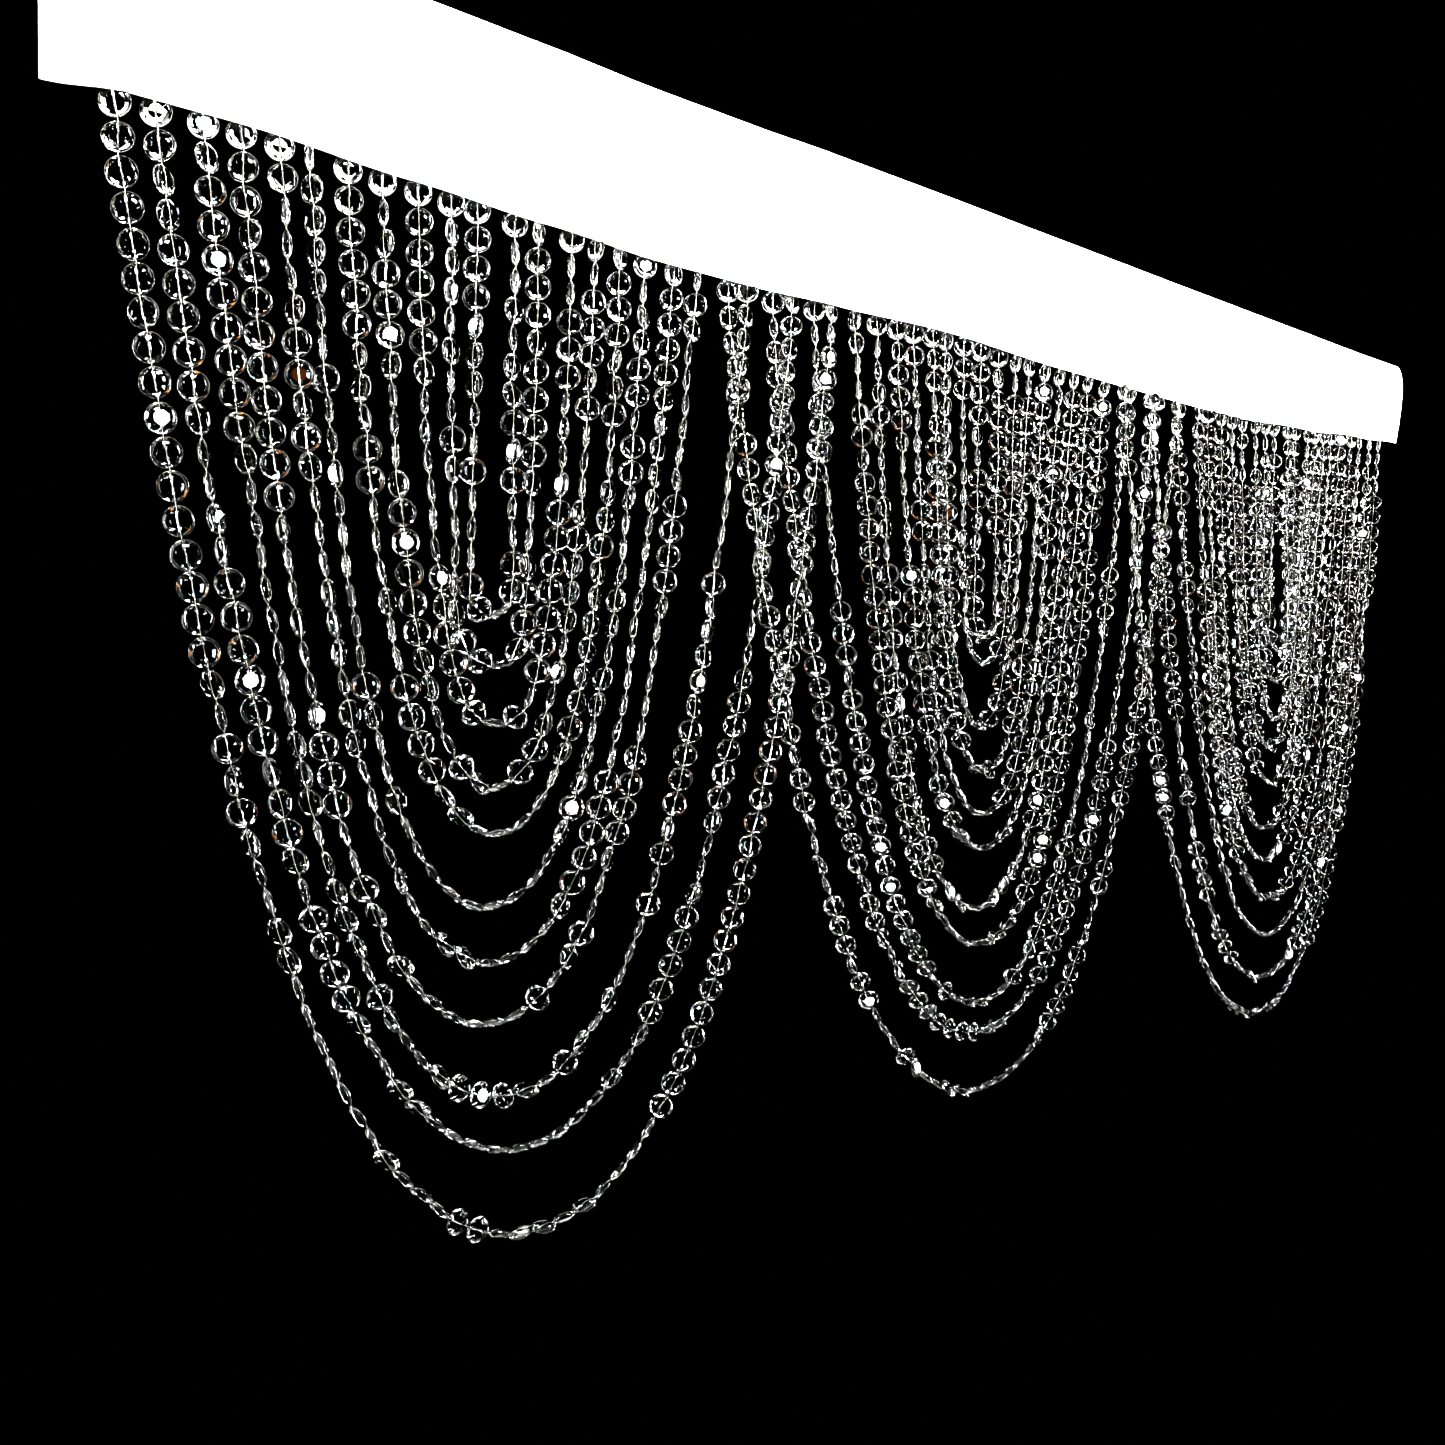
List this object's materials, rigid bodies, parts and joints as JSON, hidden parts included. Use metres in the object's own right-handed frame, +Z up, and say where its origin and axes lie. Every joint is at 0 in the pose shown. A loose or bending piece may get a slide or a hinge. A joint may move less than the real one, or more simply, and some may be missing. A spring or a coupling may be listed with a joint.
{
  "type": "bead curtain",
  "caption": "Hanging curtain of clear faceted disc beads strung in nested swags, in groups side by side below a plain white cloth header band.",
  "frame": {"origin": "middle of the header band's top edge, which the curtain hangs from", "axes": "+X along the header band, +Z up, -Y toward the front"},
  "size_m": [1.83, 0.0208, 0.8239],
  "materials": {
    "header_cloth": "plain weave cotton, matt",
    "clear_bead": "clear faceted acrylic, polished",
    "thread": "pale twisted thread"
  },
  "bodies": {
    "root": {"header_band": "header_cloth", "swags_left": "clear_bead", "swags_middle": "clear_bead", "swags_right": "clear_bead"}
  },
  "joints": []
}
